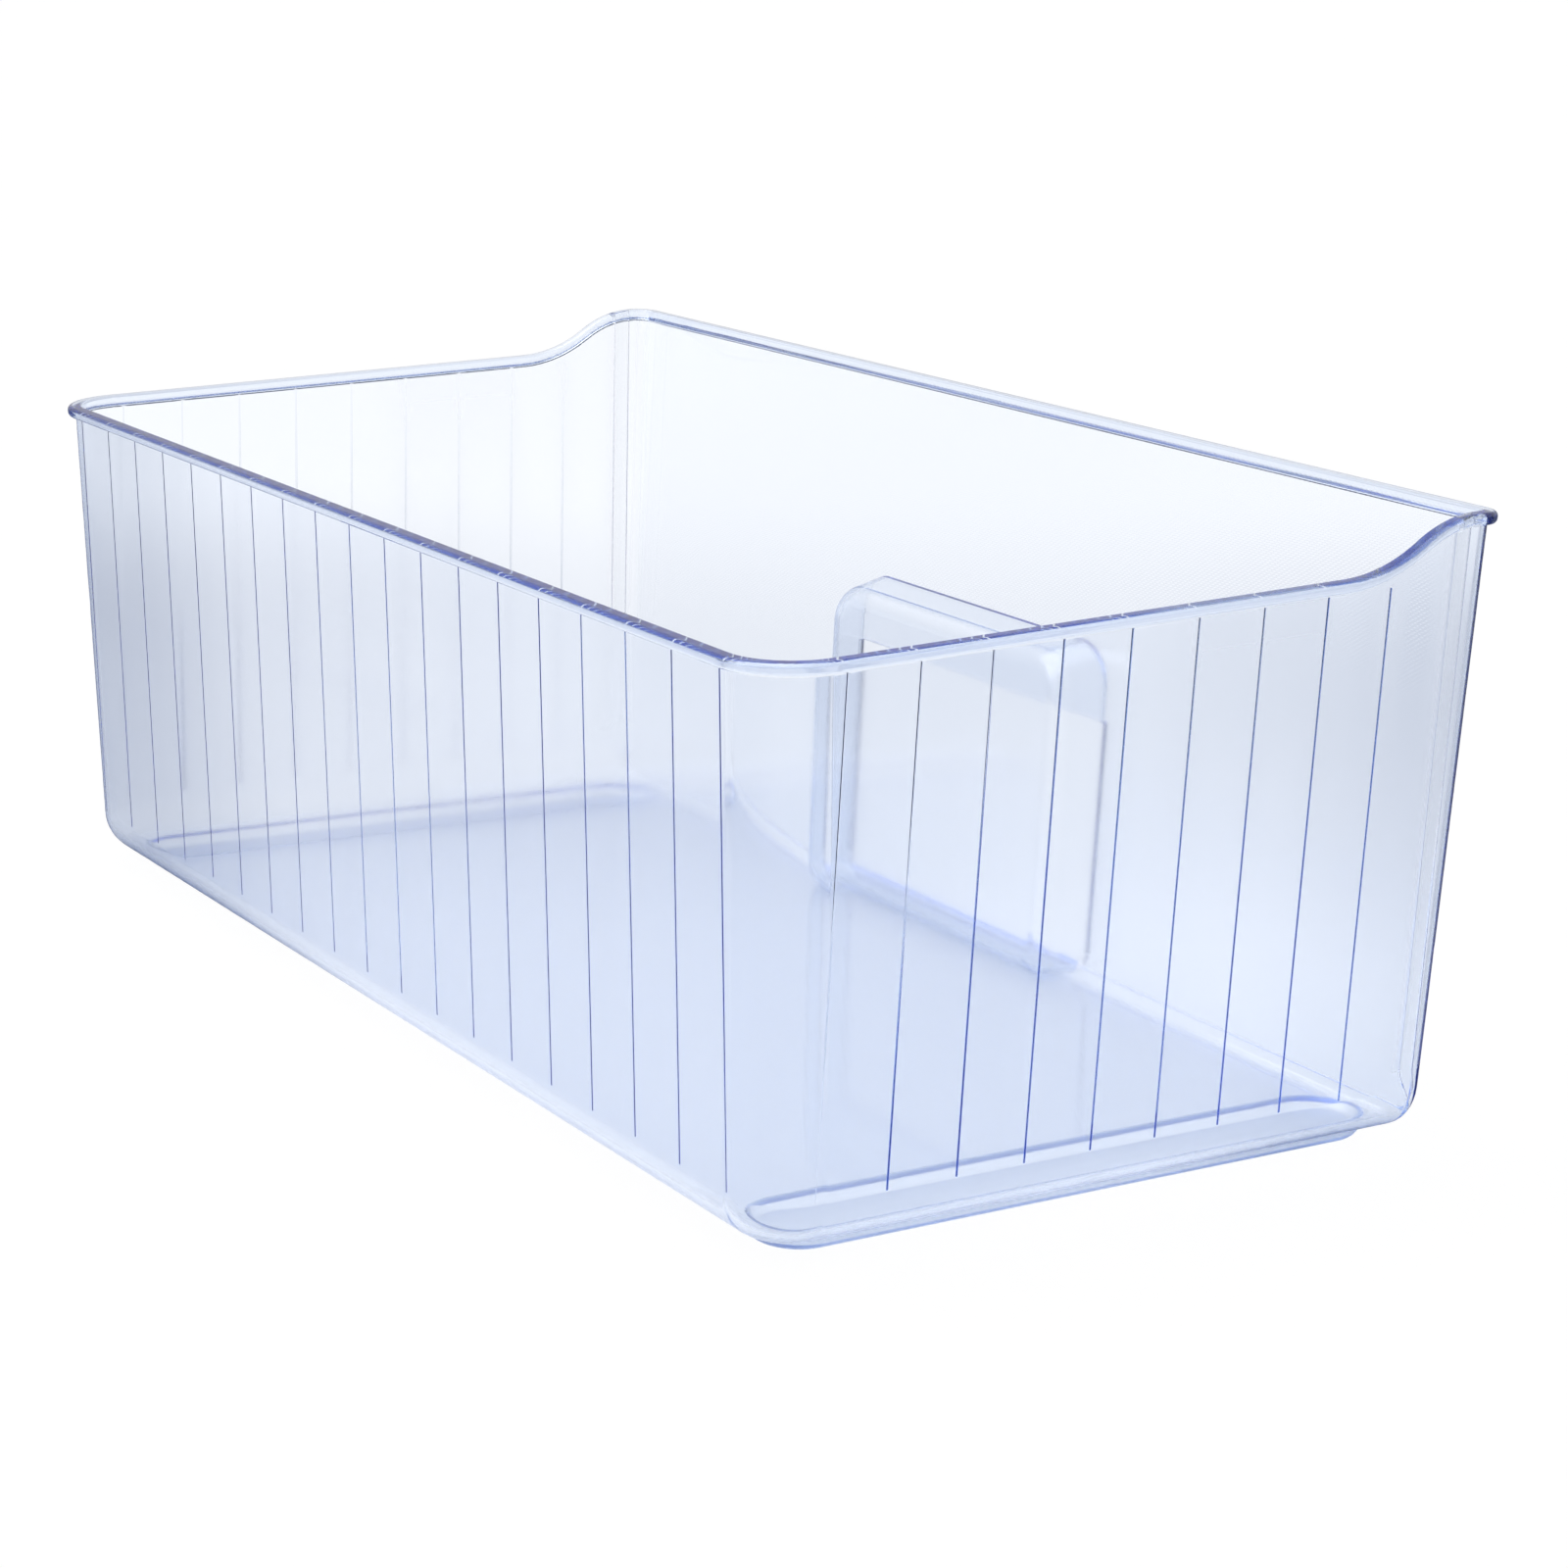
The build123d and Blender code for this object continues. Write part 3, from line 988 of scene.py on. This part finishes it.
@dataclass
class Studio:
    """Pale floor, white surround, soft lamps and the camera.

    Attributes:
        floor_side: Side of the square floor in metres.
        floor_drop: Gap under the feet in metres, so that two faces never share a plane.
        floor_colour: Colour of the floor's paper.
        show_through: Share of plain white in the floor, by eye, through plastic and in gloss; the
            rest is lit paper.
        white_room: The same shares for the room, where the rest is the soft dome.
        paper_turn: Degrees that the paper, its painted pool of light and its painted reflection
            card are turned.
        pool: Half width in metres where the painted pool of light starts and ends to fade.
        painted_pool_shift: Metres that the painted pool lies off the middle.
        under: Metres behind the bin's middle where the paper painted brightest, under the bin,
            starts
        and ends to fade.
        backdrop: Metres behind the bin where its painted tone starts and ends to fade to white.
        card: Edges of the white card painted on the paper as a reflection for the bin's gloss:
            which
        way each faces in degrees, and where along that way the card starts and is fully white.
        painted_pool_tones: Painted light and shade: tone of the paper in the painted pool and
            beside it.
        painted_reflection_tones: Painted reflection: tone of the painted card, and of the painted
            flags beside it.
        surround: Tone of the room that the gloss mirrors, low down and overhead.
        dome: Height, as a share of the way up, where the overhead tone starts, and its strength.
        skylight: Strength of the wide soft light from above, its width and its lean in degrees.
        bounces: Most bounces of light in all, off gloss, through plastic, and straight through.
        lamps: The soft lamps.
    """

    floor_side: float = 40.0
    floor_drop: float = 0.0002
    floor_colour: str = "#f2f2f2"
    show_through: tuple[float, float, float] = (0.95, 0.35, 0.35)
    white_room: tuple[float, float, float] = (1.0, 1.0, 0.5)
    paper_turn: float = 33.1
    pool: tuple[float, float] = (0.1, 0.4)
    painted_pool_shift: float = 0.05
    under: tuple[float, float] = (0.0, 0.25)
    backdrop: tuple[float, float] = (0.5, 0.95)
    card: tuple[tuple[float, float, float], ...] = ((111.7, 0.035, 0.1), (133.3, 0.08, 0.14))
    painted_pool_tones: tuple[str, str] = ("#eff0f2", "#d0d2d8")
    painted_reflection_tones: tuple[str, str] = ("#ffffff", "#6a7084")
    surround: tuple[str, str] = ("#3f4758", "#ffffff")
    dome: tuple[float, float] = (0.45, 0.8)
    skylight: tuple[float, float, float] = (1.7, 70.0, 25.0)
    bounces: tuple[int, int, int, int] = (128, 128, 64, 32)
    lamps: list[Softbox] = field(
        default_factory=lambda: [
            Softbox("left_softbox", (0.4, 1.9, 1.0), (0, 0, 0.1), (1.0, 1.0), 8.0)
        ]
    )

    def build(self) -> None:
        """Lay the floor, set the surround, hang the lamps and place the camera."""
        self._floor()
        self._surround()
        self._skylight()
        for lamp in self.lamps:
            lamp.build()
        Camera().build()
        bpy.context.scene.view_settings.view_transform = "Standard"
        cycles = bpy.context.scene.cycles
        in_all, glossy, transmitted, transparent = self.bounces
        cycles.max_bounces = in_all
        cycles.glossy_bounces = glossy
        cycles.transmission_bounces = transmitted
        cycles.transparent_max_bounces = transparent

    def _skylight(self) -> None:
        """Light the whole set evenly from above, as a studio's ceiling bank does."""
        strength, width, lean = self.skylight
        bank = bpy.data.lights.new("ceiling_bank", "SUN")
        bank.energy, bank.angle = strength, radians(width)
        holder = bpy.data.objects.new("ceiling_bank", bank)
        holder.rotation_euler = (radians(-lean), radians(lean / 2), 0)
        bpy.context.scene.collection.objects.link(holder)

    @staticmethod
    def _seen_directly(
        tree: bpy.types.NodeTree, shares: tuple[float, float, float]
    ) -> bpy.types.Node:
        """Give a share each to rays from the camera, out of clear plastic and off gloss.

        Args:
            tree: Node tree that receives the nodes.
            shares: The three shares, in that order.

        Returns:
            The ray's share, zero for all other rays.
        """
        rays = add(tree, "LightPath").outputs
        kinds = ("Is Camera Ray", "Is Transmission Ray", "Is Glossy Ray")
        eye, plastic, gloss = (
            add(tree, "Math", {"operation": "MULTIPLY"}, i0=rays[kind], i1=share)
            for kind, share in zip(kinds, shares)
        )
        straight = add(tree, "Math", {"operation": "MAXIMUM"}, i0=eye, i1=plastic)
        return add(tree, "Math", {"operation": "MAXIMUM"}, i0=straight, i1=gloss)

    def _floor(self) -> None:
        """Lay a sheet of pale paper that shows white and keeps the bin's shadow."""
        deselect_all()
        bpy.ops.mesh.primitive_plane_add(size=self.floor_side, location=(0, 0, -self.floor_drop))
        floor = bpy.context.object
        floor.name = "paper_floor"
        bpy.ops.object.transform_apply(location=True, rotation=True, scale=True)
        floor.data.materials.append(self._matt_paper())

    def _matt_paper(self) -> bpy.types.Material:
        """Make the paper, which glows a little white for the rays that see it directly.

        Returns:
            The finished material.
        """
        material = bpy.data.materials.new("matt_paper")
        material.use_nodes = True
        tree = material.node_tree
        tree.nodes.clear()
        by_eye = add(tree, "LightPath").outputs["Is Camera Ray"]
        # Away from the camera's rays the paper carries its painted light and shade.
        seen = add(tree, "MixRGB", i0=by_eye, i1=self._paper_painted_light(tree), i2=WHITE)
        settings = {"blend_type": "MULTIPLY"}
        paint = add(tree, "MixRGB", settings, i0=1.0, i1=seen, i2=linear(self.floor_colour))
        paper = add(tree, "BsdfDiffuse", Color=paint)
        white = add(tree, "Emission", Color=seen, Strength=1.0)
        share = self._seen_directly(tree, self.show_through)
        mix = add(tree, "MixShader", i0=share, i1=paper, i2=white)
        add(tree, "OutputMaterial", Surface=mix)
        return material

    def _paper_painted_light(self, tree: bpy.types.NodeTree) -> bpy.types.Node:
        """Paint light and shade on the paper: a pool where plastic shows it, a reflection for
        gloss.

        Args:
            tree: Node tree that receives the nodes.

        Returns:
            The paper's tone, with its painted light and shade.
        """
        place = add(tree, "TexCoord").outputs["Object"]
        through, card = self._painted_pool_of_light(tree, place), self._painted_reflection(tree, place)
        mirrored = add(tree, "LightPath").outputs["Is Reflection Ray"]
        return add(tree, "MixRGB", i0=mirrored, i1=through, i2=card)

    @staticmethod
    def _fade(
        tree: bpy.types.NodeTree, distance: object, reach: tuple[float, float]
    ) -> bpy.types.Node:
        """Go smoothly from zero to one as a distance goes over a reach.

        Args:
            tree: Node tree that receives the node.
            distance: The distance, as a node or an output.
            reach: Where the fade starts and ends.

        Returns:
            How far the fade has come.
        """
        start, end = reach
        settings = {"interpolation_type": "SMOOTHSTEP"}
        return add(tree, "MapRange", settings, Value=distance, From_Min=start, From_Max=end)

    def _painted_pool_of_light(self, tree: bpy.types.NodeTree, place: bpy.types.NodeSocket) -> bpy.types.Node:
        """Paint a pool of light on the paper, painted shade beside it and white paper far behind.

        Args:
            tree: Node tree that receives the nodes.
            place: Place on the paper.

        Returns:
            The tone that clear plastic shows.
        """
        turned = add(tree, "Mapping", Vector=place, Rotation=(0, 0, radians(self.paper_turn)))
        axes = add(tree, "SeparateXYZ", Vector=turned).outputs
        shifted = add(tree, "Math", {"operation": "ADD"}, i0=axes["Y"], i1=self.painted_pool_shift)
        off_pool = add(tree, "Math", {"operation": "ABSOLUTE"}, i0=shifted)
        # Painted light and shade: the pool's lit and shaded tones are painted on the paper.
        lit, shaded = (linear(tone) for tone in self.painted_pool_tones)
        past_bin = self._fade(tree, axes["X"], self.under)
        middle = add(tree, "MixRGB", i0=past_bin, i1=WHITE, i2=lit)
        beside = self._fade(tree, off_pool, self.pool)
        pool = add(tree, "MixRGB", i0=beside, i1=middle, i2=shaded)
        behind = self._fade(tree, axes["X"], self.backdrop)
        return add(tree, "MixRGB", i0=behind, i1=pool, i2=WHITE)

    def _painted_reflection(
        self, tree: bpy.types.NodeTree, place: bpy.types.NodeSocket
    ) -> bpy.types.Node:
        """Lay a white card on the paper, with darker flags beside it.

        Args:
            tree: Node tree that receives the nodes.
            place: Place on the paper.

        Returns:
            The painted reflection that gloss mirrors.
        """
        on_painted_card: object = 0.0
        for way, start, full in self.card:
            facing = (cos(radians(way)), sin(radians(way)), 0)
            turned = add(tree, "VectorMath", {"operation": "DOT_PRODUCT"}, i0=place, i1=facing)
            edge = self._fade(tree, turned.outputs["Value"], (start, full))
            on_painted_card = add(tree, "Math", {"operation": "MAXIMUM"}, i0=edge, i1=on_painted_card)
        # Painted reflection: the card's white and the flags' dark are painted on the paper for
        # reflected rays only.
        bright, dark = (linear(tone) for tone in self.painted_reflection_tones)
        return add(tree, "MixRGB", i0=on_painted_card, i1=dark, i2=bright)

    def _surround(self) -> None:
        """Make the room: white where it is looked at, and a soft dome for gloss and light."""
        world = bpy.data.worlds.new("studio")
        world.use_nodes = True
        tree = world.node_tree
        tree.nodes.clear()
        way = add(tree, "TexCoord").outputs["Generated"]
        height = add(tree, "SeparateXYZ", Vector=way).outputs["Z"]
        overhead, strength = self.dome
        ramp = add(tree, "ValToRGB", Fac=height)
        low, high = ramp.color_ramp.elements
        low.color, high.color = (linear(tone) for tone in self.surround)
        high.position = overhead
        dome = add(tree, "Background", Color=ramp, Strength=strength)
        white = add(tree, "Background", Color=WHITE, Strength=1.0)
        share = self._seen_directly(tree, self.white_room)
        mix = add(tree, "MixShader", i0=share, i1=dome, i2=white)
        add(tree, "OutputWorld", Surface=mix)
        bpy.context.scene.world = world


# ---------------------------------------------
# The bin
# ---------------------------------------------


@dataclass
class CrisperBin:
    """The whole bin.

    Attributes:
        mouldings: Its pieces as they are shown: the tub, and the front wall with its grip.
    """

    mouldings: list[Moulding] = field(
        default_factory=lambda: [
            Moulding(
                "clear_tub",
                "body_plastic",
                {
                    "bin_body": ClearStyrene(
                        "blue_clear_styrene_tub", Surface.DIAMOND_LEVEL, grain_depth=0.004 * MM
                    )
                },
                [TubForm(), FootForm(), FootForm(lip=True)],
            ),
            Moulding(
                "clear_front",
                "panel_plastic",
                {
                    "front_panel": ClearStyrene(
                        "blue_clear_styrene_front", Surface.DIAMOND_UPRIGHT
                    ),
                    "grip_pocket": ClearStyrene("blue_clear_styrene_grip"),
                },
                [TubForm(), PocketForm()],
            ),
        ]
    )

    def build(self, nodes: dict[str, bpy.types.Object]) -> None:
        """Build every moulding on its CAD node."""
        for moulding in self.mouldings:
            moulding.build(nodes)


def main() -> None:
    """Build the bin and its studio."""
    logging.basicConfig(level=logging.INFO, format="%(name)s: %(message)s")
    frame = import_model()
    CrisperBin().build(frame["nodes"])
    Studio().build()


if __name__ == "__main__":
    main()
